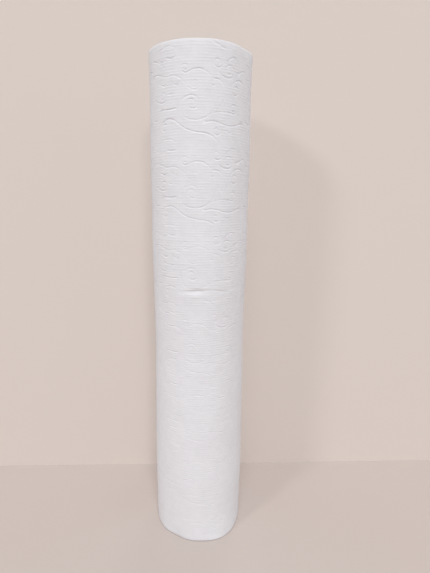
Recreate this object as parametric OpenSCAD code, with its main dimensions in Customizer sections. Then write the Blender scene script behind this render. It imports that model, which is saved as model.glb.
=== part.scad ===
// Exam table paper roll: one long web of embossed tissue wound on a cardboard core.
// It stands on one end. Millimetres, +Z up along the roll's axis, and the origin is
// at the middle of the lower end. The front of the roll faces -Y.

/* [Roll] */
// Width of the paper web, which is the roll's length along its axis
roll_width = 600; // [300:10:700]
// Outer diameter of the wound roll
roll_d = 114; // [80:1:180]
// Thickness of the embossed two-ply web, which shows as a step at its loose end
web_thickness = 0.4; // [0.2:0.05:1]
// Direction of the web's loose end, seen from above, from +X towards +Y
tail_angle = 60; // [0:5:355]

/* [Turns on the ends] */
// Radial pitch of the drawn turns, each standing for a few layers of the web
turn_pitch = 1.6; // [1:0.1:3]
// Width of the gap that shows between two turns
turn_gap = 0.3; // [0.1:0.05:0.45]
// Depth of the gap between two turns
turn_gap_depth = 0.6; // [0.2:0.1:1.5]

/* [Core] */
// Inner diameter of the cardboard core, which takes the holder's bar
core_bore = 40; // [20:1:60]
// Wall of the cardboard core
core_wall = 1.5; // [0.8:0.1:4]

/* [Pinch crease] */
// Height of the crease above the lower end
crease_height = 340; // [60:5:560]
// Direction of the crease's middle, seen from above, from +X towards +Y
crease_angle = 263; // [0:1:359]
// Depth of the crease at its middle
crease_depth = 1; // [0.4:0.1:2]
// Opening of the crease along the roll, at its middle
crease_opening = 4; // [2:0.5:10]
// How much flatter the crease curves than the roll: a small value makes it long
crease_flare = 37; // [5:1:120]

/* [Rim dent] */
// Direction of the dent's middle on the upper rim, from +X towards +Y
dent_angle = 298; // [0:1:359]
// Depth of the dent at the rim
dent_depth = 1.2; // [0.3:0.1:3]
// Height of the dent down from the rim
dent_height = 6; // [2:0.5:20]

/* [Hidden] */
$fn = 96;

paper_white = [0.93, 0.93, 0.94];
card_grey = [0.66, 0.6, 0.52];

// How far a cutting shape runs past the face that it cuts
overrun = 2;

roll_r = roll_d / 2;
core_r = core_bore / 2;
core_outer_r = core_r + core_wall;

// The gaps start two layers under the loose end and run inwards to the core
gap_start_r = roll_r - 2 * web_thickness;
gap_turns = floor((gap_start_r - core_outer_r - turn_gap) / turn_pitch) - 1;

// The crease is bitten out by the wedge-shaped inner edge of a ring that is wider
// than the roll and touches it only there, so the crease fades out at both ends.
crease_ring_r = roll_r + crease_flare;
crease_ring_wall = crease_depth + overrun;
crease_ring_rise = crease_opening / 2 * crease_ring_wall / crease_depth;

// The dent is a flat that leans in over the rim
dent_lean = atan(dent_depth / dent_height);

// A spiral of half circles, which starts on +X and loses one pitch of radius a turn.
// The centres of its -Y half and its +Y half are half a pitch apart, so that each half
// runs into the next. Child 0 is the section of the -Y half and child 1 that of the
// +Y half, each drawn around the centre of its own half.
module half_turn_pair(pitch) {
    translate([pitch / 4, 0, 0])
        rotate([0, 0, 180])
            rotate_extrude(angle = 180)
                children(0);
    translate([-pitch / 4, 0, 0])
        rotate_extrude(angle = 180)
            children(1);
}

// Radius of each half around its own centre, for a spiral that starts at start_r
function minus_y_r(start_r, pitch) = start_r - pitch / 4;
function plus_y_r(start_r, pitch) = start_r - 3 * pitch / 4;

// The outside of the wound web, round but for the step where the loose end lies
module wound_outside() {
    start_r = roll_r + web_thickness / 2;
    half_turn_pair(web_thickness) {
        square([minus_y_r(start_r, web_thickness), roll_width]);
        square([plus_y_r(start_r, web_thickness), roll_width]);
    }
}

// One tooth for each turn, along +Y, with its tip as deep as the gaps
function gap_teeth(r) = [
    for (k = [gap_turns : -1 : 0])
        each [
            [r - k * turn_pitch - turn_gap, -turn_gap_depth],
            [r - k * turn_pitch, turn_gap_depth],
            [r - k * turn_pitch + turn_gap, -turn_gap_depth]
        ]
];

// The comb of teeth on its back, for the half with outer gap radius r
module gap_comb(r) {
    teeth = gap_teeth(r);
    back = -turn_gap_depth - overrun;
    polygon(concat(
        [[teeth[0].x, back]],
        teeth,
        [[teeth[len(teeth) - 1].x, back]]
    ));
}

// The same comb set on the lower and on the upper end of the roll
module both_ends() {
    children();
    translate([0, roll_width])
        mirror([0, 1])
            children();
}

module turn_gap_cutter() {
    half_turn_pair(turn_pitch) {
        both_ends()
            gap_comb(minus_y_r(gap_start_r, turn_pitch));
        both_ends()
            gap_comb(plus_y_r(gap_start_r, turn_pitch));
    }
}

module crease_cutter() {
    rotate([0, 0, crease_angle])
        translate([roll_r - crease_depth - crease_ring_r, 0, crease_height])
            rotate_extrude()
                polygon([
                    [crease_ring_r, 0],
                    [crease_ring_r + crease_ring_wall, -crease_ring_rise],
                    [crease_ring_r + crease_ring_wall, crease_ring_rise]
                ]);
}

module dent_cutter() {
    rotate([0, 0, dent_angle])
        translate([roll_r, 0, roll_width - dent_height])
            rotate([0, -dent_lean, 0])
                translate([0, -roll_r, -overrun])
                    cube([roll_r, roll_d, 2 * dent_height + 2 * overrun]);
}

module paper_roll() {
    color(paper_white)
        difference() {
            rotate([0, 0, tail_angle])
                wound_outside();
            rotate([0, 0, tail_angle])
                turn_gap_cutter();
            translate([0, 0, -overrun])
                cylinder(r = core_outer_r, h = roll_width + 2 * overrun);
            crease_cutter();
            dent_cutter();
        }
}

module core_tube() {
    color(card_grey)
        difference() {
            cylinder(r = core_outer_r, h = roll_width);
            translate([0, 0, -overrun])
                cylinder(r = core_r, h = roll_width + 2 * overrun);
        }
}

paper_roll();
core_tube();
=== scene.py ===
# Exam table paper roll: the embossed outer turns, the wound inner turns and the card core,
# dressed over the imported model. The roll's lengths are in millimetres until a mesh is made.
# The stage, the lamps and the camera are placed in metres.
import math

import bpy
import numpy as np
from mathutils import Matrix, Vector, noise
from mathutils.geometry import delaunay_2d_cdt
from mathutils.kdtree import KDTree


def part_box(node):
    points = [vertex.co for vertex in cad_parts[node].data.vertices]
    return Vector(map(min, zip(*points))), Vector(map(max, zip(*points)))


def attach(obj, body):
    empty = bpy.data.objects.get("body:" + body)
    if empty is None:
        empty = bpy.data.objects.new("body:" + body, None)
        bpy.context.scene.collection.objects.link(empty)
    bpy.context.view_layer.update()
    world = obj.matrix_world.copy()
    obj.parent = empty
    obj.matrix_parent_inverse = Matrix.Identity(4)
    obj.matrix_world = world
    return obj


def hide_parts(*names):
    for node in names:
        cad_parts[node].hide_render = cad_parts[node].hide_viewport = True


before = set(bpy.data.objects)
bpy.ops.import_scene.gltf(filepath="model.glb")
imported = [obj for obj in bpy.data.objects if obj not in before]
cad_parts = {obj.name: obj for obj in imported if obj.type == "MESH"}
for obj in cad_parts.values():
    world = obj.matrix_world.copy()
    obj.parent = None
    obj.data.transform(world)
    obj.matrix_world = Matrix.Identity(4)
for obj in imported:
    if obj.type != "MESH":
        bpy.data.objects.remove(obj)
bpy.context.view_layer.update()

MM = 0.001
TURN = 2 * math.pi

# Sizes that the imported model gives
paper_low, paper_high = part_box("paper_roll")
core_low, core_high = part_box("core_tube")
ROLL_WIDTH = (paper_high.z - paper_low.z) / MM
ROLL_R = (paper_high.x - paper_low.x) / 2 / MM
CORE_R = (core_high.x - core_low.x) / 2 / MM
GIRTH = TURN * ROLL_R

# The web: its thickness, its loose end at the back, and the columns and rows of a turn's mesh
WEB = 0.4
TAIL_ANGLE = math.radians(60)
COLUMNS = 240
COLUMN_STEP = GIRTH / COLUMNS
FLAP_COLUMNS = 6
FLAP_LENGTH = FLAP_COLUMNS * GIRTH / COLUMNS
ROW_STEP = 3.0
ROWS = round(ROLL_WIDTH / ROW_STEP)
OUTER_LAYERS = 10
# How far the outer layers, which are wound loosely, stand off the solid roll
LOOSE_WOUND = 1.2
# How far along the web from its loose end the roll's front lies
FRONT_S = ROLL_R * (TAIL_ANGLE + math.pi / 2)


# Embossed scrolls

# One repeat of the pattern: three go round the roll, and one arch top lies at this height
REPEAT_W = GIRTH / 3
REPEAT_H = 90.6
REPEAT = np.array([REPEAT_W, REPEAT_H])
ARCH_TOP_Z = 571.9
GROOVE_HALF_W = 1.05
GROOVE_DEPTH = 0.54
# The pull of winding flattens the strokes that run across the web to this share, and how
# fast a stroke loses depth as it turns away from the web's length
UPRIGHT_SHARE = 0.22
FLATTEN_POWER = 5
# Distance between the points of a stroke, and the length or turn after which its mesh has a station
STROKE_STEP = 0.2
STATION_GAP = 2.2
STATION_TURN = 0.5


def smooth_line(points):
    """Points a stroke step apart on a smooth curve through a few points."""
    p = np.array(points, float)
    knots = [2 * p[0] - p[1], *p, 2 * p[-1] - p[-2]]
    out = []
    for a, b, c, d in zip(knots, knots[1:], knots[2:], knots[3:]):
        count = max(2, int(np.linalg.norm(c - b) / STROKE_STEP))
        t = np.linspace(0, 1, count, endpoint=False)[:, None]
        out.append(0.5 * (2 * b + (c - a) * t + (2 * a - 5 * b + 4 * c - d) * t**2
                          + (3 * b - a - 3 * c + d) * t**3))
    return np.concatenate([*out, p[-1:]])


def wind_up(line, first_r, last_r, turn_deg):
    """The line carried on into a curl that tightens from first_r to last_r over turn_deg."""
    end = line[-1].copy()
    way = line[-1] - line[-3]
    heading = math.atan2(way[1], way[0])
    hand = math.copysign(1, turn_deg)
    whole = math.radians(abs(turn_deg))
    turned = 0.0
    curl = []
    while turned < whole:
        r = first_r + (last_r - first_r) * turned / whole
        step = STROKE_STEP / r
        turned += step
        heading += hand * step
        end = end + STROKE_STEP * np.array([math.cos(heading), math.sin(heading)])
        curl.append(end)
    return np.concatenate([line, curl])


def scroll(points, head=None, tail=None, press=1.0):
    """A stroke through the points, with a curl at its head or its tail where one is given, and
    how hard it is pressed."""
    line = smooth_line(points)
    if tail:
        line = wind_up(line, *tail)
    if head:
        line = wind_up(line[::-1], *head)[::-1]
    return line, press


# Strokes of one repeat, across to the right and up from the top of its arch. A curl gives
# its first and last radius and how far it turns, positive to the left.
SCROLLS = [
    # The arch that runs round into the great volute
    scroll([(-13.1, -3.3), (-8.7, -1.1), (-3.1, 0), (3.1, -0.9), (9.4, -5), (15, -13.7),
            (17.2, -25), (15, -36.2), (8.7, -44.1), (1.2, -47.9), (-6.2, -49), (-13.7, -47.5),
            (-19.4, -42.5), (-21.2, -35), (-18.7, -28.7), (-12.5, -25.6)],
           head=(5.2, 1.8, -420), tail=(8, 2, -520), press=0.95),
    # The wave from the left that curls up under the arch
    scroll([(-57, -1.9), (-52.5, -1.5), (-45, -3.7), (-37.5, -6), (-30, -5.2), (-24.4, -6.6),
            (-17.5, -11.2), (-13.5, -16.9), (-8.7, -19.6)], tail=(5.4, 1.8, 480), press=0.6),
    # The faint sweep that leaves the volute to the right, and the curl at its end
    scroll([(-3.7, -48.7), (3.7, -46.7), (10, -43.4), (16.2, -41), (22.5, -39.9), (28.7, -39.8)],
           press=0.35),
    scroll([(30, -39.9), (32.8, -40.2), (35.6, -40.7)], tail=(5.4, 1.8, 500), press=0.9),
    # The long wave below, from a curl on the left to a curl under the next arch
    scroll([(-42.5, -50), (-38.1, -47.9), (-33.1, -47.2), (-27.5, -49), (-21.2, -54),
            (-13.7, -58.4), (-3.7, -61), (6.2, -62.2), (14.4, -66), (20, -73), (23.1, -81)],
           head=(5.2, 2, 420), tail=(6, 2, -440)),
    # The right-hand wave and the curl that hangs from it
    scroll([(46.2, -49.7), (39.4, -52.1), (32.5, -53.4), (25, -52.5), (18.1, -50.5),
            (11.9, -49.8), (5.6, -51)], press=0.85),
    scroll([(14.4, -49.9), (18.6, -51.9), (21.5, -56.5)], tail=(5, 2, -400), press=0.8),
    # The hook beside the arch
    scroll([(11.5, -11.2), (13.7, -9.2), (17.2, -8.6), (21.9, -10.9), (25, -15.6), (26.2, -21.9),
            (24.7, -28.1), (21.2, -33.7)], head=(3, 1.5, 190)),
    # The right-hand arch and its curl
    scroll([(57, -13.7), (52.5, -8.2), (46.2, -6.1), (40, -7.7), (36, -10.6)],
           tail=(7, 2.2, 430), press=0.9),
    # The curl over the right-hand arch, and two small arcs above it
    scroll([(21, -4), (25, -5.9), (29.7, -6.5)], tail=(7.2, 2.2, 500)),
    scroll([(30.6, 11.2), (33.7, 13.5), (37.5, 14.5), (41.9, 12.1), (45, 6.2)]),
    scroll([(46.9, 1.9), (51.5, 4.2), (55, 4.4), (59, 1.6)], press=0.8),
    # The left-hand arch
    scroll([(-58, 12.9), (-54.4, 11.9), (-49.4, 9.7), (-42.5, 5.2), (-36.2, -1)], press=0.7),
    # Small strokes between the others
    scroll([(-43.1, 21.4), (-39, 22.7), (-33.7, 22.9), (-29.4, 21.9), (-26.5, 19.7)], press=0.5),
    scroll([(-35.6, 11.9), (-31.9, 11), (-27.9, 11.7)]),
    scroll([(-45, -12.5), (-41.9, -14), (-39, -13.1)]),
    scroll([(-53, -27.6), (-50, -29.2), (-46.2, -30.6), (-42.5, -30.4)], tail=(5.5, 1.8, 430)),
    scroll([(-41.2, -37.5), (-33.7, -37.9), (-26.2, -37.2)]),
    scroll([(-60, -46), (-55, -47.8), (-50, -46.2)]),
    scroll([(-49.5, 12.5), (-46, 10), (-42.5, 9), (-39.5, 10.5)], press=0.7),
    scroll([(-36, -22), (-32.5, -23.3), (-29, -22.2)], press=0.7),
    scroll([(-28.6, -13.2), (-26.5, -14.5), (-24.2, -13.8)], press=0.6),
    scroll([(28, -59), (31, -60.5), (34, -59.5)], press=0.7),
]


def search_tree(places):
    tree = KDTree(len(places))
    for i, (x, y) in enumerate(places):
        tree.insert((x, y, 0), i)
    tree.balance()
    return tree


def gaps_to(tree, places):
    """Distance from each place to the nearest one in the tree."""
    return np.array([tree.find((x, y, 0))[2] for x, y in places])


def stroke_ways(line):
    """The direction of a stroke at each of its points, as unit steps."""
    way = np.gradient(line, axis=0)
    return way / np.linalg.norm(way, axis=1)[:, None]


def groove_copies():
    """Points of the strokes of one repeat, carried on past its edges, and how crisp each is."""
    base = np.concatenate([line for line, _ in SCROLLS]) % REPEAT
    along_web = np.abs(np.concatenate([stroke_ways(line) for line, _ in SCROLLS])[:, 0])
    press = np.concatenate([np.full(len(line), press) for line, press in SCROLLS])
    crisp = press * (UPRIGHT_SHARE + (1 - UPRIGHT_SHARE) * along_web**FLATTEN_POWER)
    margin = 3 * GROOVE_HALF_W
    places = []
    shares = []
    for i in (-1, 0, 1):
        for j in (-1, 0, 1):
            moved = base + np.array([i, j]) * REPEAT
            near = ((moved > -margin) & (moved < REPEAT + margin)).all(1)
            places.append(moved[near])
            shares.append(crisp[near])
    return np.concatenate(places), np.concatenate(shares)


GROOVE_PLACES, GROOVE_CRISP = groove_copies()
GROOVES = search_tree(GROOVE_PLACES)


def groove_heights(points):
    """How deep the embossing is at points of the unrolled web, from 0 to -1."""
    across = (FRONT_S - points[:, 0]) % REPEAT_W
    up = (points[:, 1] - ARCH_TOP_Z) % REPEAT_H
    found = [GROOVES.find((x, y, 0)) for x, y in zip(across, up)]
    inside = np.clip(np.array([gap for _, _, gap in found]) / GROOVE_HALF_W, 0, 1)
    crisp = GROOVE_CRISP[[index for _, index, _ in found]]
    return -0.5 * crisp * (1 + np.cos(math.pi * inside))


# Dents, creases and the soft shape of the outside

# The pinch crease: its place, and its depth at the middle and in the faint line to its left
CREASE_Z = 340.1
CREASE_ANGLE = math.radians(-97)
CREASE_DEPTH = 0.9
CREASE_FAINT = 0.25
CREASE_BULGE = 0.35
# Its line wavers by this much over this length, and drops on its left between these places
CREASE_WAVER, CREASE_WAVER_LENGTH = 0.5, 7
CREASE_DROP, CREASE_DROP_SPAN = 1.8, (6, 20)
# The dent in the upper rim: its sides, its fold's place and depth, and how far it leans in
RIM_DENT_FROM = math.radians(-84)
RIM_DENT_TO = math.radians(-30)
RIM_DENT_DROP = 7
RIM_DENT_LEAN = 0.05
RIM_FOLD_DEPTH = 0.4
# Swells along the roll: how far each stands out, its middle and its spread
SWELLS = ((0.9, 480, 55), (0.7, 385, 40), (-1.0, 265, 55), (0.85, 85, 40))
# Bulges round the foot and the upper end: how far, direction and spread, and where they fade
FOOT_BULGES = ((-2.2, math.radians(-122), 0.36), (3.2, math.radians(-54), 0.42))
FOOT_FADE = 45
HEAD_BULGES = ((1.9, math.radians(-157), 0.28), (1.6, math.radians(-14), 0.22),
               (-1.5, math.radians(-38), 0.2))
HEAD_FADE = 40
# Slow waves of the paper, and finer puckers
WAVE_HEIGHT = 0.5
PUCKER_HEIGHT = 0.22
PUCKER_SCALE = 2.7
WAVE_LENGTH, WAVE_REACH = 55, 1.6
# Waves of the rims: height, number round the roll and shift, and how far from a rim they reach
RIM_WAVES = ((0.22, 5, 1), (0.16, 11, 2.6))
WAVER_FADE = 7
# How far the cut edges are softened, and over what length
SOFT_TOP = ((0.14, 0.4), (0.3, 2))
SOFT_FOOT = ((0.5, 0.9),)
# Lift of the loose end, and its waves along the roll: height, length and shift
TAIL_LIFT = 0.7
TAIL_WAVES = ((0.35, 61, 1), (0.2, 23, 0))
# Share of the depth that the scrolls keep at the foot, what they gain higher up, and between where
PRESS_AT_FOOT = 0.34
PRESS_GAIN = 0.66
PRESS_RISE = (150, 480)
PRESS_LENGTH, PRESS_REACH = 18, 3.2


def bump(x, middle, spread):
    return np.exp(-((x - middle) / spread) ** 2)


def bumps(x, heights):
    """Several bumps added up, each given by its height, its middle and its spread."""
    return sum(height * bump(x, middle, spread) for height, middle, spread in heights)


def ease(x, start, stop):
    t = np.clip((x - start) / (stop - start), 0, 1)
    return t * t * (3 - 2 * t)


def angle_of(s):
    """Direction on the roll of a place along the web, from -pi to pi."""
    return (TAIL_ANGLE - s / ROLL_R + math.pi) % TURN - math.pi


def noise_places(angle, up, reach):
    """Places for noise that closes round the roll: the larger the reach, the finer the noise."""
    return [Vector((reach * math.cos(a), reach * math.sin(a), h)) for a, h in zip(angle, up)]


def noise_at(places):
    return np.array([noise.noise(p) for p in places])


def crease_line(s):
    """Height of the pinch crease along the web, and how far to its right a place is."""
    right = (angle_of(s) - CREASE_ANGLE) * ROLL_R
    waver = CREASE_WAVER * np.sin(right / CREASE_WAVER_LENGTH)
    drop = CREASE_DROP * ease(-right, *CREASE_DROP_SPAN)
    return CREASE_Z + waver - drop, right


def crease_heights(s, z):
    """A sharp step in under an upper lip, with a bulge that rolls out below it."""
    line, right = crease_line(s)
    below = line - z
    faint = CREASE_FAINT * ease(right, -28, -2) * ease(-right, -52, -28)
    pinch = CREASE_DEPTH * bump(right, 3, 8.5) + faint
    step_in = -ease(below, -1.7, 1.0) * (1 - ease(below, 1.0, 6.5))
    bulge = CREASE_BULGE * bump(below, 7, 4.5)
    return pinch * (step_in + bulge)


def rim_dent_line(s):
    """Height of the fold under the dent in the upper rim."""
    return ROLL_WIDTH - RIM_DENT_DROP * ease(angle_of(s), RIM_DENT_FROM, RIM_DENT_FROM + 0.35)


def rim_dent_heights(s, z):
    """The dent leans in above its fold and fades out at both sides."""
    angle = angle_of(s)
    line = rim_dent_line(s)
    above = z - line
    to_end = -RIM_DENT_TO
    inside = ease(angle, RIM_DENT_FROM, RIM_DENT_FROM + 0.2) * ease(-angle, to_end, to_end + 0.6)
    fold = ease(ROLL_WIDTH - line, 0.6, 3.5) * ease(-angle, to_end + 0.45, to_end + 0.7)
    lean = -RIM_DENT_LEAN * inside * np.clip(above, 0, None)
    return lean - RIM_FOLD_DEPTH * fold * bump(above, 0, 0.9)


def soft_heights(s, z):
    """Slow swells of a roll that was wound loosely and squeezed in the hand."""
    angle = angle_of(s)
    foot = bumps(angle, FOOT_BULGES) * np.exp(-z / FOOT_FADE)
    head = bumps(angle, HEAD_BULGES) * np.exp((z - ROLL_WIDTH) / HEAD_FADE)
    places = noise_places(angle, z / WAVE_LENGTH, WAVE_REACH)
    wave = WAVE_HEIGHT * noise_at(places)
    pucker = PUCKER_HEIGHT * noise_at([p * PUCKER_SCALE for p in places])
    return LOOSE_WOUND + bumps(z, SWELLS) + foot + head + wave + pucker


def rim_heights(s, z):
    """The rims waver a little and their cut edges are soft, the lower one from standing on it."""
    angle = angle_of(s)
    from_top = ROLL_WIDTH - z
    waver = sum(height * np.sin(count * angle + shift) for height, count, shift in RIM_WAVES)
    soft_top = sum(depth * np.exp(-from_top / length) for depth, length in SOFT_TOP)
    soft_foot = sum(depth * np.exp(-z / length) for depth, length in SOFT_FOOT)
    return waver * np.exp(-np.minimum(z, from_top) / WAVER_FADE) - (soft_top + soft_foot)


def plain_heights(s, z):
    """How far the outside stands off a true spiral, without the embossing."""
    return soft_heights(s, z) + crease_heights(s, z) + rim_dent_heights(s, z) + rim_heights(s, z)


def press_depth(s, z):
    """How deep the scrolls are pressed: unevenly, less low down and where the crease pulls the
    paper flat, and not into the web's cut edges."""
    places = noise_places(angle_of(s), z / PRESS_LENGTH, PRESS_REACH)
    uneven = np.clip(1 + 0.8 * noise_at(places), 0.35, 1.5)
    from_edge = np.minimum(np.minimum(z, ROLL_WIDTH - z), GIRTH - s)
    line, right = crease_line(s)
    pulled = 1 - 0.65 * bump(right, 0, 22) * bump(line - z, 6, 8)
    press = GROOVE_DEPTH * (PRESS_AT_FOOT + PRESS_GAIN * ease(z, *PRESS_RISE)) * uneven
    return press * pulled * ease(from_edge, 0.4, 4)


def tail_lift(s, z):
    """The loose end stands a little off the turn below it."""
    waves = (height * np.sin(z / length + shift) for height, length, shift in TAIL_WAVES)
    lift = sum(waves, TAIL_LIFT)
    return lift * np.clip(1 - s / FLAP_LENGTH, 0, 1) ** 2


def layer_r(turned):
    """Radius of the web's outside after it has turned inwards from its loose end."""
    return ROLL_R + WEB / 2 - WEB * turned / TURN


def on_roll(s, z, r):
    angle = TAIL_ANGLE - s / ROLL_R
    return np.stack([r * np.cos(angle), r * np.sin(angle), z], 1)


# Points of the outer turn

# Rows of points along a stroke, in half widths from its middle: its bottom, its walls, its
# brinks and the flat paper beside it
GROOVE_SIDES = (0, 0.5, -0.5, 1, -1, 1.45, -1.45)
# Least gap between the points of the strokes, and between those and the points of a fold
POINT_GAP = 0.36
FOLD_GAP = 0.6
# Spacing of the points of plain paper, and how far the pattern stays off the web's border
FILL_STEP = 5.5
BORDER_GAP = 1.0
# Rows of points along the crease, down from its line, and along the rim dent's fold, up from it
CREASE_ROWS = (-3.2, -2.3, -1.6, -1, -0.4, 0.2, 0.8, 1.5, 2.5, 3.7, 5, 6.6, 8.6, 11)
CREASE_SPAN = (-32, 56, 1.4)
FOLD_ROWS = (-1.8, -1.1, -0.5, 0, 0.5, 1.1, 1.8)
FOLD_STEP = 0.026
# Points that lie closer than this are one
SAME_POINT = 1e-6


def thin_out(points, spacing):
    """The points in their order, without those that lie too close to an earlier one."""
    kept = []
    cells = {}
    for x, y in points:
        i, j = int(x // spacing), int(y // spacing)
        close = False
        for a in (i - 1, i, i + 1):
            for b in (j - 1, j, j + 1):
                for p, q in cells.get((a, b), ()):
                    if (x - p) ** 2 + (y - q) ** 2 < spacing * spacing:
                        close = True
        if not close:
            cells.setdefault((i, j), []).append((x, y))
            kept.append((x, y))
    return np.array(kept)


def stations(line):
    """Places along a stroke, closer together where it turns more tightly."""
    way = np.gradient(line, axis=0)
    heading = np.unwrap(np.arctan2(way[:, 1], way[:, 0]))
    turned = np.abs(np.gradient(heading))
    kept = [0]
    length, turn = 0.0, 0.0
    for i in range(1, len(line)):
        length += STROKE_STEP
        turn += turned[i]
        if length >= STATION_GAP or turn >= STATION_TURN:
            kept.append(i)
            length, turn = 0.0, 0.0
    return kept


def groove_points():
    """Rows of points along every stroke."""
    rows = []
    for side in GROOVE_SIDES:
        for line, _ in SCROLLS:
            way = stroke_ways(line)
            across = np.stack([-way[:, 1], way[:, 0]], 1)
            rows.append((line + side * GROOVE_HALF_W * across)[stations(line)])
    return np.concatenate(rows)


def repeat_points():
    """The points of one repeat, with plain paper filled in."""
    points = thin_out(groove_points() % REPEAT, POINT_GAP)
    fill = []
    for row, y in enumerate(np.arange(FILL_STEP / 2, REPEAT_H, FILL_STEP)):
        for x in np.arange(FILL_STEP / 4 * (1 + 2 * (row % 2)), REPEAT_W, FILL_STEP):
            fill.append((x, y))
    fill = np.array(fill)
    clear = gaps_to(search_tree(points), fill) > FILL_STEP / 2
    return np.concatenate([points, fill[clear]])


def pattern_points():
    """The repeats that cover the unrolled web."""
    one = repeat_points()
    left_most = math.floor((FRONT_S - GIRTH) / REPEAT_W)
    right_most = math.ceil(FRONT_S / REPEAT_W)
    lowest = math.floor(-ARCH_TOP_Z / REPEAT_H)
    highest = math.ceil((ROLL_WIDTH - ARCH_TOP_Z) / REPEAT_H)
    copies = []
    for i in range(left_most, right_most + 1):
        for j in range(lowest, highest + 1):
            s = FRONT_S - one[:, 0] - i * REPEAT_W
            z = ARCH_TOP_Z + one[:, 1] + j * REPEAT_H
            copies.append(np.stack([s, z], 1))
    return np.concatenate(copies)


def level(stops, z):
    """Points at one height of the unrolled web."""
    return np.stack([stops, 0 * stops + z], 1)


def outer_turn_points():
    """The border of the unrolled outer turn, in order, and all its points with the border first."""
    s_line = np.linspace(0, GIRTH, COLUMNS + 1)
    z_line = np.linspace(0, ROLL_WIDTH, ROWS + 1)
    right = np.stack([0 * z_line + GIRTH, z_line], 1)[1:]
    top = level(s_line, ROLL_WIDTH)[::-1][1:]
    left = np.stack([0 * z_line, z_line], 1)[::-1][1:-1]
    border = np.concatenate([level(s_line, 0), right, top, left])
    special = []
    between = (s_line[1:] + s_line[:-1]) / 2
    for inward, stops in ((0.5, s_line[1:-1]), (1.3, between), (2.8, s_line[1:-1])):
        special.append(level(stops, inward))
        special.append(level(stops, ROLL_WIDTH - inward))
    crease_s = FRONT_S - ROLL_R * (CREASE_ANGLE + math.pi / 2) - np.arange(*CREASE_SPAN)
    line, _ = crease_line(crease_s)
    for below in CREASE_ROWS:
        special.append(np.stack([crease_s, line - below], 1))
    dent_angles = np.arange(RIM_DENT_FROM, RIM_DENT_TO + 0.3, FOLD_STEP)
    dent_s = FRONT_S - ROLL_R * (dent_angles + math.pi / 2)
    fold_z = np.minimum(rim_dent_line(dent_s), ROLL_WIDTH - 4)
    for above in FOLD_ROWS:
        special.append(np.stack([dent_s, fold_z + above], 1))
    special = np.concatenate(special)
    pattern = pattern_points()
    far_corner = np.array([GIRTH, ROLL_WIDTH]) - BORDER_GAP
    pattern = pattern[((pattern > BORDER_GAP) & (pattern < far_corner)).all(1)]
    clear = gaps_to(search_tree(special), pattern) > FOLD_GAP
    return border, np.concatenate([border, special, pattern[clear]])


# Meshes

# The two looks of the outer turns
OUTSIDE, EDGES = 0, 1
# Texture places: the margin and span of the unrolled web, and its scale
UV_LOW = 0.01
UV_SPAN = 0.98
UV_HIGH = 0.99
UV_SCALE = UV_SPAN / ROLL_WIDTH
# Texture columns of the outer turns beside the unrolled web: the turn under the loose end, the
# underside of the loose end, its tip and the tip's two ends, the hidden inside and its last layer
UV_UNDER = 0.605
UV_INSIDE = 0.625
UV_TIP = (0.645, 0.647)
UV_TIP_END = (0.649, 0.65, 0.651)
UV_TIP_RISE = 0.002
UV_WALL = (0.66, 0.70)
UV_LAST = 0.705
UV_LAST_STEP = 0.002
# Texture discs of the ends: their middles on the lower and the upper end, and their radius
OUTER_DISCS = ((0.855, 0.28), (0.855, 0.74))
OUTER_DISC_R = 0.13
WOUND_DISCS = ((0.25, 0.7), (0.75, 0.7))
WOUND_DISC_R = 0.24
# The inner turns: their columns, and how far they stay off the outer turns and off the core
WOUND_COLUMNS = 144
WOUND_SLACK = 0.06
CORE_SLACK = 0.1
# Texture places of the inner turns' sides, and of the steps at their first and last layer
WOUND_SIDE_X = (0.02, 0.48)
WOUND_SIDE_Y = (0.02, 0.2)
WOUND_INNER_SHIFT = 0.5
WOUND_STEP_X = (0.02, 0.3)
WOUND_STEP_Y = (0.25, 0.3)
WOUND_STEP_RISE = 0.01
# Relief of the ends: how far in they lie on the whole, in coarse bands, unevenly and between layers
END_INSET = 0.25
END_COARSE = 0.14
END_UNEVEN = 0.16
END_GAP = 0.08
END_RISE, END_REACH = 0.45, 2.5


class Shell:
    """Vertices, faces and texture places of one closed piece, gathered strip by strip."""

    def __init__(self):
        self.points = []
        self.spots = []
        self.faces = []
        self.looks = []

    def add(self, points):
        start = len(self.points)
        self.points.extend(np.asarray(points).tolist())
        return list(range(start, len(self.points)))

    def face(self, corners, spots, look):
        self.faces.append(corners)
        self.spots.append(spots)
        self.looks.append(look)

    def strip(self, one, other, spots_one, spots_other, look):
        """Quads between two rows of vertices, seen from the side where the second lies left."""
        for i in range(len(one) - 1):
            self.face((one[i], one[i + 1], other[i + 1], other[i]),
                      (spots_one[i], spots_one[i + 1], spots_other[i + 1], spots_other[i]), look)

    def wind_on(self, rows, places):
        """Adds a row of a spiral, which starts where the row a whole layer out has ended."""
        if len(rows) < 2:
            rows.append(self.add(places))
        else:
            rows.append([rows[-2][-1]] + self.add(places[1:]))

    def end_bands(self, rows, is_lower, middle, disc_r, look):
        """Bands between the rows of the lower or the upper end."""
        for outer, inner in zip(rows, rows[1:]):
            pair = (outer, inner) if is_lower else (inner, outer)
            spots = [on_disc([self.points[i] for i in row], middle, disc_r / ROLL_R) for row in pair]
            self.strip(*pair, *spots, look)

    def piece(self, name, materials):
        mesh = bpy.data.meshes.new(name)
        mesh.from_pydata((np.array(self.points) * MM).tolist(), [], self.faces)
        for material in materials:
            mesh.materials.append(material)
        mesh.polygons.foreach_set("material_index", self.looks)
        mesh.polygons.foreach_set("use_smooth", [True] * len(self.faces))
        layer = mesh.uv_layers.new(name="OFBake")
        layer.uv.foreach_set("vector", np.concatenate([np.ravel(f) for f in self.spots]))
        made = bpy.data.objects.new(name, mesh)
        bpy.context.scene.collection.objects.link(made)
        return made


def upright(x, z):
    """Texture places of a column of the unrolled web."""
    return [(x, UV_LOW + UV_SPAN * h / ROLL_WIDTH) for h in z]


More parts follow.
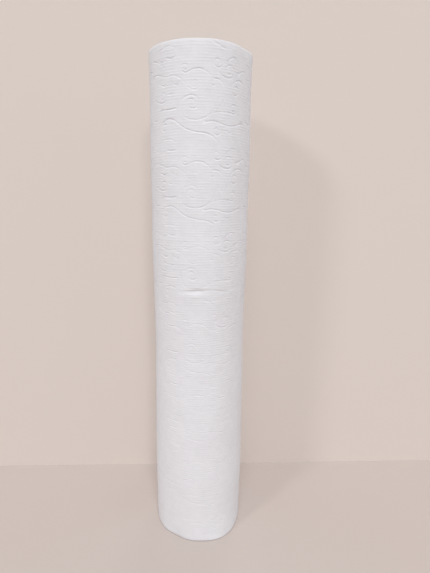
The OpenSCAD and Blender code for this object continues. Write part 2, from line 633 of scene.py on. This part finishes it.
def on_disc(places, middle, scale):
    return [(middle[0] + scale * x, middle[1] + scale * y) for x, y in np.asarray(places)[:, :2]]


def end_relief(angle, layer, crown):
    """How far a place on an end lies in from its plane: the edge of each layer is a low ridge."""
    coarse = 0.5 + 0.25 * np.sin(2.4 * layer) + 0.25 * np.sin(0.63 * layer + 1)
    uneven = noise_at(noise_places(angle, END_RISE * layer, END_REACH))
    return END_INSET + END_COARSE * coarse + END_UNEVEN * uneven + END_GAP * (1 - crown)


def end_places(turned, half_layers, r, z_end, inwards):
    """A row on an end, some half layers in from the web's outside; odd rows are crowns."""
    angle = TAIL_ANGLE - turned
    z = z_end + inwards * end_relief(angle, turned / TURN + half_layers / 2, half_layers % 2)
    return np.stack([r * np.cos(angle), r * np.sin(angle), z], 1)


def embossed_sheet(shell):
    """The embossed outside of the outer turn. Gives the vertices along its foot, up its inner
    end, along its top and up its loose end."""
    border, planar = outer_turn_points()
    count = len(border)
    edges = [(i, (i + 1) % count) for i in range(count)]
    points = [Vector(p) for p in planar]
    verts, _, tris, origin, _, _ = delaunay_2d_cdt(points, edges, [], 0, SAME_POINT)
    place = {}
    for new, old in enumerate(origin):
        for i in old:
            place[i] = new
    flat = np.array([tuple(v) for v in verts])
    s, z = flat[:, 0], flat[:, 1]
    heights = plain_heights(s, z) + press_depth(s, z) * groove_heights(flat)
    shell.add(on_roll(s, z, layer_r(s / ROLL_R) + heights + tail_lift(s, z)))
    spot = np.stack([UV_LOW + UV_SCALE * s, UV_LOW + UV_SCALE * z], 1).tolist()
    for a, b, c in tris:
        shell.face((a, c, b), (spot[a], spot[c], spot[b]), OUTSIDE)
    foot = [place[i] for i in range(COLUMNS + 1)]
    right = [place[COLUMNS + i] for i in range(ROWS + 1)]
    top = [place[COLUMNS + ROWS + i] for i in range(COLUMNS + 1)][::-1]
    left = [place[(2 * COLUMNS + ROWS + i) % count] for i in range(ROWS + 1)][::-1]
    return foot, right, top, left


def loose_end(shell, right, left):
    """The turn under the loose end, and the underside and the tip of the loose end."""
    z = np.linspace(0, ROLL_WIDTH, ROWS + 1)
    under = [right]
    for c in range(1, FLAP_COLUMNS + 1):
        s = np.full(ROWS + 1, GIRTH + c * COLUMN_STEP)
        under.append(shell.add(on_roll(s, z, layer_r(s / ROLL_R) + plain_heights(s, z))))
    inside = []
    for c in range(FLAP_COLUMNS):
        s = np.full(ROWS + 1, c * COLUMN_STEP)
        r = layer_r(s / ROLL_R) + plain_heights(s, z) + tail_lift(s, z) - WEB
        inside.append(shell.add(on_roll(s, z, r)))
    inside.append(under[-1])
    for c in range(FLAP_COLUMNS):
        at, to = (upright(UV_UNDER + UV_SCALE * COLUMN_STEP * k, z) for k in (c, c + 1))
        shell.strip(under[c], under[c + 1], at, to, OUTSIDE)
        at, to = (upright(UV_INSIDE + UV_SCALE * COLUMN_STEP * k, z) for k in (c + 1, c))
        shell.strip(inside[c + 1], inside[c], at, to, OUTSIDE)
    at, to = (upright(x, z) for x in UV_TIP)
    shell.strip(inside[0], left, at, to, EDGES)
    return under, inside


def make_outer_turns(materials):
    """The outer layers of the web with the embossing and the loose end, as one closed band."""
    shell = Shell()
    foot, right, top, left = embossed_sheet(shell)
    under, inside = loose_end(shell, right, left)

    # The ends: spiral rows, half a layer apart, that follow the rim outside and are round inside
    start = FLAP_COLUMNS * COLUMN_STEP / ROLL_R
    turned = start + np.arange(COLUMNS + 1) * TURN / COLUMNS
    s_flap = np.arange(FLAP_COLUMNS) * COLUMN_STEP
    halves = 2 * OUTER_LAYERS
    walls = []
    ends = ((foot, 0.0, 1, UV_LOW), (top, ROLL_WIDTH, -1, UV_SPAN))
    for end, (rim, z_end, inwards, tip_v) in enumerate(ends):
        is_lower = end == 0
        row_end = -end
        off = plain_heights(turned * ROLL_R, np.full(len(turned), z_end))
        rows = [rim[FLAP_COLUMNS:] + [column[row_end] for column in under[1:]]]
        for m in range(1, halves + 1):
            r_row = layer_r(turned) - m / 2 * WEB + off * (1 - m / halves)
            shell.wind_on(rows, end_places(turned, m, r_row, z_end, inwards))
        z_flap = np.full(FLAP_COLUMNS, z_end)
        r_flap = layer_r(s_flap / ROLL_R) - WEB / 2 + tail_lift(s_flap, z_flap)
        r_flap = r_flap + plain_heights(s_flap, z_flap)
        ridge = shell.add(end_places(s_flap / ROLL_R, 1, r_flap, z_end, inwards)) + [rows[1][0]]
        flap = [rim[:FLAP_COLUMNS + 1], ridge, [column[row_end] for column in inside]]
        for band in (flap, rows):
            shell.end_bands(band, is_lower, OUTER_DISCS[end], OUTER_DISC_R, EDGES)
        tip = [row[0] for row in flap]
        tip_heights = (tip_v, tip_v + UV_TIP_RISE, tip_v)
        shell.face(tip if is_lower else tip[::-1], list(zip(UV_TIP_END, tip_heights)), EDGES)
        walls.append((rows[-1], rows[-2][-1]))

    # The hidden inner side of the band, and the end of its last layer
    (low_row, low_mid), (high_row, high_mid) = walls
    x_line = np.linspace(*UV_WALL, COLUMNS + 1)
    at, to = ([(x, y) for x in x_line] for y in (UV_LOW, UV_HIGH))
    shell.strip(low_row, high_row, at, to, EDGES)
    stops = [(low_row[0], high_row[0]), (low_mid, high_mid), (low_row[-1], high_row[-1])]
    for k, (one, other) in enumerate(zip(stops, stops[1:])):
        at, to = (upright(UV_LAST + UV_LAST_STEP * q, (0, ROLL_WIDTH)) for q in (k, k + 1))
        shell.strip(one, other, at, to, EDGES)
    return shell.piece("outer_turns", materials)


def make_wound_turns(materials):
    """The inner layers of the web, wound from the outer ones down to the core."""
    start = FLAP_COLUMNS * TURN / COLUMNS + OUTER_LAYERS * TURN
    layers = math.floor((layer_r(start) - CORE_R - CORE_SLACK) / WEB) - 1
    turned = start + np.arange(WOUND_COLUMNS + 1) * TURN / WOUND_COLUMNS
    shell = Shell()
    ends = []
    for end, (z_end, inwards) in enumerate(((0.0, 1), (ROLL_WIDTH, -1))):
        rows = []
        for m in range(2 * layers + 1):
            r_row = layer_r(turned) - m / 2 * WEB - WOUND_SLACK
            shell.wind_on(rows, end_places(turned, m, r_row, z_end, inwards))
        shell.end_bands(rows, end == 0, WOUND_DISCS[end], WOUND_DISC_R, 0)
        ends.append(rows)

    # The outer and the inner side, whose textures lie side by side under the discs
    low, high = ends
    lower, upper = WOUND_SIDE_Y
    x_line = np.linspace(*WOUND_SIDE_X, WOUND_COLUMNS + 1)
    shell.strip(high[0], low[0], [(x, upper) for x in x_line], [(x, lower) for x in x_line], 0)
    x_line = x_line + WOUND_INNER_SHIFT
    shell.strip(low[-1], high[-1], [(x, lower) for x in x_line], [(x, upper) for x in x_line], 0)

    # The steps where the first layer starts and the last one stops
    steps_out = [(low[m][0], high[m][0]) for m in (2, 1, 0)]
    steps_in = [(low[m][-1], high[m][-1]) for m in (-3, -2, -1)]
    for y, stops in zip(WOUND_STEP_Y, (steps_out, steps_in)):
        for k, (one, other) in enumerate(zip(stops, stops[1:])):
            at, to = ([(x, y + WOUND_STEP_RISE * q) for x in WOUND_STEP_X] for q in (k, k + 1))
            shell.strip(one, other, at, to, 0)
    return shell.piece("wound_turns", materials)


# Finishes

# Pitch of the ribs round the roll, and how many millimetres the crepe stands out
RIB_PITCH = 2.95
CREPE_HEIGHT = 0.08
# Streaks that break the ribs, to the millimetre, and how much longer they are round the roll
STREAK_SCALE = 0.22
STREAK_STRETCH = (0.25, 0.25, 1)
# Rings of painted shade on the ends to the millimetre, and how dark they are
RING_SCALE = 0.9
RING_SHADE = 0.86
# Rise of the core's board in a turn, and the shade and width of its seam
CARD_PITCH = 85
SEAM_SHADE = (0.45, 0.45, 0.45, 1)
SEAM_SHARE = 0.02


def new_material(name):
    material = bpy.data.materials.new(name)
    material.use_nodes = True
    material.node_tree.nodes.clear()
    return material


def put(tree, kind, **settings):
    """A node with its settings: its own properties first, else the input of that name."""
    node = tree.nodes.new(kind)
    for key, value in settings.items():
        if hasattr(node, key):
            setattr(node, key, value)
        else:
            node.inputs[key.replace("_", " ")].default_value = value
    return node


def join(tree, source, output, target, socket):
    tree.links.new(source.outputs[output], target.inputs[socket])


def paper_fibre_group():
    """Cloudy tone and felted height of paper and board, for feature sizes in millimetres."""
    group = bpy.data.node_groups.new("paper_fibre", "ShaderNodeTree")
    for name, default in (("Cloud size", 8.0), ("Fibre size", 0.7)):
        socket = group.interface.new_socket(name, in_out="INPUT", socket_type="NodeSocketFloat")
        socket.default_value = default
    for name in ("Tone", "Height"):
        group.interface.new_socket(name, in_out="OUTPUT", socket_type="NodeSocketFloat")
    given = put(group, "NodeGroupInput")
    result = put(group, "NodeGroupOutput")
    place = put(group, "ShaderNodeTexCoord")
    textures = []
    for size, settings in (("Cloud size", {"Detail": 4.0, "Roughness": 0.6}),
                           ("Fibre size", {"Detail": 3.0, "Roughness": 0.65, "Distortion": 1.2})):
        scale = put(group, "ShaderNodeMath", operation="DIVIDE")
        scale.inputs[0].default_value = 1 / MM
        join(group, given, size, scale, 1)
        texture = put(group, "ShaderNodeTexNoise", **settings)
        join(group, place, "Object", texture, "Vector")
        join(group, scale, "Value", texture, "Scale")
        textures.append(texture)
    cloud, felt = textures
    both = put(group, "ShaderNodeMix", data_type="FLOAT", Factor=0.3)
    join(group, cloud, "Fac", both, "A")
    join(group, felt, "Fac", both, "B")
    join(group, both, "Result", result, "Tone")
    join(group, felt, "Fac", result, "Height")
    return group


class Paper:
    """A paper or board material: cloudy colour and felt from the fibre group, ready for more."""

    def __init__(self, name, fibre, cloud_size, fibre_size, tones, roughness, felt):
        self.material = new_material(name)
        self.tree = self.material.node_tree
        out = self.put("ShaderNodeOutputMaterial")
        self.skin = self.put("ShaderNodeBsdfPrincipled", Specular_IOR_Level=0.25)
        self.join(self.skin, "BSDF", out, "Surface")
        self.place = self.put("ShaderNodeTexCoord")
        fibres = self.put("ShaderNodeGroup")
        fibres.node_tree = fibre
        fibres.inputs["Cloud size"].default_value = cloud_size
        fibres.inputs["Fibre size"].default_value = fibre_size
        self.colour = self.put("ShaderNodeValToRGB")
        for stop, position, tone in zip(self.colour.color_ramp.elements, (0.3, 0.7), tones):
            stop.position = position
            stop.color = (*tone, 1)
        self.join(fibres, "Tone", self.colour, "Fac")
        rough = self.put("ShaderNodeMapRange", To_Min=roughness - 0.05, To_Max=roughness + 0.05)
        self.join(fibres, "Tone", rough, "Value")
        self.join(rough, "Result", self.skin, "Roughness")
        self.relief = self.put("ShaderNodeBump", Distance=felt * MM)
        self.join(fibres, "Height", self.relief, "Height")
        self.join(self.relief, "Normal", self.skin, "Normal")
        self.join(self.colour, "Color", self.skin, "Base Color")

    def put(self, kind, **settings):
        return put(self.tree, kind, **settings)

    def join(self, source, output, target, socket):
        join(self.tree, source, output, target, socket)

    def shade(self, source, output):
        """Multiplies the colour by a value or colour that changes over the surface."""
        product = self.put("ShaderNodeMix", data_type="RGBA", blend_type="MULTIPLY", Factor=1.0)
        colour_in = [s for s in product.inputs if s.type == "RGBA"]
        colour_out = [s for s in product.outputs if s.type == "RGBA"]
        self.tree.links.new(self.colour.outputs["Color"], colour_in[0])
        self.tree.links.new(source.outputs[output], colour_in[1])
        self.tree.links.new(colour_out[0], self.skin.inputs["Base Color"])

    def split_place(self):
        split = self.put("ShaderNodeSeparateXYZ")
        self.join(self.place, "Object", split, "Vector")
        return split


def embossed_tissue(fibre):
    """The outside of the web: white creped tissue with fine ribs round the roll that come and go."""
    tones = ((0.757, 0.762, 0.80), (0.807, 0.814, 0.85))
    paper = Paper("embossed_tissue", fibre, 9, 0.8, tones, 0.92, 0.05)
    ribs = paper.put("ShaderNodeTexWave", wave_type="BANDS", bands_direction="Z",
                     wave_profile="SIN", Scale=TURN / 20 / (RIB_PITCH * MM), Distortion=2.3,
                     Detail=1.0, Detail_Scale=0.15)
    paper.join(paper.place, "Object", ribs, "Vector")
    streak_place = paper.put("ShaderNodeMapping", Scale=STREAK_STRETCH)
    paper.join(paper.place, "Object", streak_place, "Vector")
    streaks = paper.put("ShaderNodeTexNoise", Detail=3.0, Roughness=0.62, Scale=STREAK_SCALE / MM)
    paper.join(streak_place, "Vector", streaks, "Vector")
    broken = paper.put("ShaderNodeMapRange", From_Min=0.4, From_Max=0.62, To_Min=0.12, To_Max=1.3)
    paper.join(streaks, "Fac", broken, "Value")
    height = paper.put("ShaderNodeMath", operation="MULTIPLY_ADD")
    paper.join(ribs, "Fac", height, 0)
    paper.join(broken, "Result", height, 1)
    paper.join(streaks, "Fac", height, 2)
    crepe = paper.put("ShaderNodeBump", Distance=CREPE_HEIGHT * MM)
    paper.join(height, "Value", crepe, "Height")
    paper.join(paper.relief, "Normal", crepe, "Normal")
    paper.join(crepe, "Normal", paper.skin, "Normal")
    return paper.material


def tissue_edges(fibre):
    """The cut edges of the layers on the ends, in tones darker than the outside's that are painted
    shade of the gaps between the layers, with darker rings of painted shade where layers lie apart.
    """
    # Darker than the outside's tones: painted shade of the gaps between the layers' edges
    tones = ((0.58, 0.575, 0.585), (0.70, 0.695, 0.71))
    paper = Paper("tissue_edges", fibre, 5, 0.5, tones, 0.94, 0.05)
    split = paper.split_place()
    flat = paper.put("ShaderNodeCombineXYZ")
    paper.join(split, "X", flat, "X")
    paper.join(split, "Y", flat, "Y")
    far = paper.put("ShaderNodeVectorMath", operation="LENGTH")
    paper.join(flat, "Vector", far, 0)
    # Painted shade: darker rings where the layers lie apart
    rings = paper.put("ShaderNodeTexNoise", noise_dimensions="1D", Detail=3.0, Roughness=0.7,
                      Scale=RING_SCALE / MM)
    paper.join(far, "Value", rings, "W")
    painted_ring_shade = paper.put("ShaderNodeMapRange", From_Min=0.35, From_Max=0.65, To_Min=RING_SHADE)
    paper.join(rings, "Fac", painted_ring_shade, "Value")
    paper.shade(painted_ring_shade, "Result")
    return paper.material


def spiral_card(fibre):
    """Grey-brown board wound in a spiral, with the seam between its strips."""
    tones = ((0.36, 0.28, 0.20), (0.50, 0.41, 0.31))
    paper = Paper("spiral_card", fibre, 6, 0.9, tones, 0.85, 0.06)
    split = paper.split_place()
    angle = paper.put("ShaderNodeMath", operation="ARCTAN2")
    paper.join(split, "Y", angle, 0)
    paper.join(split, "X", angle, 1)
    share = paper.put("ShaderNodeMath", operation="DIVIDE")
    paper.join(angle, "Value", share, 0)
    share.inputs[1].default_value = TURN
    rise = paper.put("ShaderNodeMath", operation="DIVIDE")
    paper.join(split, "Z", rise, 0)
    rise.inputs[1].default_value = CARD_PITCH * MM
    wound = paper.put("ShaderNodeMath", operation="ADD")
    paper.join(share, "Value", wound, 0)
    paper.join(rise, "Value", wound, 1)
    strip = paper.put("ShaderNodeMath", operation="FRACT")
    paper.join(wound, "Value", strip, 0)
    seam = paper.put("ShaderNodeValToRGB")
    seam.color_ramp.elements[0].color = SEAM_SHADE
    seam.color_ramp.elements[1].position = SEAM_SHARE
    paper.join(strip, "Value", seam, "Fac")
    paper.shade(seam, "Color")
    return paper.material


# Stage, light and camera

STAGE_REACH = 2.5
WALL_Y = 0.1
FLOOR_Z = -0.0003
SQUARE = ((-1, -1), (1, -1), (1, 1), (-1, 1))
TABLE_COLOUR = (0.525, 0.466, 0.438)
WALL_COLOUR = (0.715, 0.646, 0.603)
# Each lamp's name, place, width and power. They all face the middle of the roll.
ROLL_MIDDLE = Vector((0, 0, 0.3))
LAMP_WHITE = (1, 0.99, 0.98)
LAMPS = (
    ("ceiling_lamp", (0, -7.5, 18.84), 6, 1555),
    ("window_lamp", (-11.2, -9.8, 10.2), 2.8, 540),
    ("side_lamp", (7.2, -3.6, 2.7), 5.4, 30),
    ("front_lamp", (1.5, -10.3, 7.6), 3, 380),
    ("back_lamp", (0.8, 2.6, 1.1), 1.6, 18),
)
ROOM_COLOUR = (0.97, 0.98, 1, 1)
ROOM_STRENGTH = 0.445
# The photograph's camera: its place, its turns in radians, and its lens and sensor
CAMERA_PLACE = Vector((0, -0.4948, 0.4396))
CAMERA_PITCH = 0.2129
CAMERA_YAW = 0.0403
CAMERA_ROLL = 0.0134
CAMERA_LENS = 24.637
CAMERA_SENSOR = 36


def pale_stage(name, colour, one_sided=False):
    """A plain matt stage colour; a one-sided piece is seen through from behind and casts no shadow."""
    material = new_material(name)
    tree = material.node_tree
    out = put(tree, "ShaderNodeOutputMaterial")
    matt = put(tree, "ShaderNodeBsdfPrincipled", Roughness=0.9, Base_Color=(*colour, 1),
               Specular_IOR_Level=0.1)
    if not one_sided:
        join(tree, matt, "BSDF", out, "Surface")
        return material
    clear = put(tree, "ShaderNodeBsdfTransparent")
    side = put(tree, "ShaderNodeNewGeometry")
    ray = put(tree, "ShaderNodeLightPath")
    hidden = put(tree, "ShaderNodeMath", operation="MAXIMUM")
    join(tree, side, "Backfacing", hidden, 0)
    join(tree, ray, "Is Shadow Ray", hidden, 1)
    pick = put(tree, "ShaderNodeMixShader")
    join(tree, hidden, "Value", pick, 0)
    join(tree, matt, "BSDF", pick, 1)
    join(tree, clear, "BSDF", pick, 2)
    join(tree, pick, "Shader", out, "Surface")
    return material


def stage_sheet(name, corners, material):
    mesh = bpy.data.meshes.new(name)
    mesh.from_pydata(corners, [], [tuple(range(len(corners)))])
    mesh.materials.append(material)
    sheet = bpy.data.objects.new(name, mesh)
    bpy.context.scene.collection.objects.link(sheet)


def soft_lamp(name, place, width, power):
    lamp = bpy.data.lights.new(name, "AREA")
    lamp.shape = "DISK"
    lamp.size = width
    lamp.energy = power
    lamp.color = LAMP_WHITE
    stand = bpy.data.objects.new(name, lamp)
    stand.location = place
    stand.rotation_mode = "QUATERNION"
    stand.rotation_quaternion = (ROLL_MIDDLE - Vector(place)).to_track_quat("-Z", "Y")
    stand.visible_camera = False
    bpy.context.scene.collection.objects.link(stand)


def photo_camera():
    """A camera at the photograph's place: near, just below the upper rim, and looking down."""
    ahead = math.cos(CAMERA_PITCH)
    forward = Vector((math.sin(CAMERA_YAW) * ahead, math.cos(CAMERA_YAW) * ahead,
                      -math.sin(CAMERA_PITCH)))
    right = forward.cross(Vector((0, 0, 1))).normalized()
    up = right.cross(forward)
    turned_right = math.cos(CAMERA_ROLL) * right + math.sin(CAMERA_ROLL) * up
    turned_up = math.cos(CAMERA_ROLL) * up - math.sin(CAMERA_ROLL) * right
    data = bpy.data.cameras.new("photo_camera")
    data.sensor_width = CAMERA_SENSOR
    data.lens = CAMERA_LENS
    camera = bpy.data.objects.new("photo_camera", data)
    turn = Matrix((turned_right, turned_up, -forward)).transposed()
    camera.matrix_world = Matrix.Translation(CAMERA_PLACE) @ turn.to_4x4()
    bpy.context.scene.collection.objects.link(camera)
    bpy.context.scene.camera = camera


# The dressed roll

photo_camera()

fibre = paper_fibre_group()
outside_look = embossed_tissue(fibre)
edge_look = tissue_edges(fibre)
card_look = spiral_card(fibre)

outer_turns = make_outer_turns([outside_look, edge_look])
wound_turns = make_wound_turns([edge_look])
for piece in (outer_turns, wound_turns):
    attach(piece, "root")
    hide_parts("paper_roll")
core_tube = bpy.data.objects["core_tube"]
core_tube.data.materials.clear()
core_tube.data.materials.append(card_look)

# The table, the wall behind it and the light
table_corners = [(STAGE_REACH * x, STAGE_REACH * y, FLOOR_Z) for x, y in SQUARE]
wall_corners = [(STAGE_REACH * x, WALL_Y, STAGE_REACH * max(y, 0)) for x, y in SQUARE]
stage_sheet("table_top", table_corners, pale_stage("pale_table", TABLE_COLOUR))
stage_sheet("back_wall", wall_corners, pale_stage("pale_wall", WALL_COLOUR, one_sided=True))
for name, place, width, power in LAMPS:
    soft_lamp(name, place, width, power)
world = bpy.data.worlds.new("room_light")
world.use_nodes = True
room = world.node_tree.nodes["Background"]
room.inputs["Color"].default_value = ROOM_COLOUR
room.inputs["Strength"].default_value = ROOM_STRENGTH
bpy.context.scene.world = world
bpy.context.scene.view_settings.view_transform = "Standard"
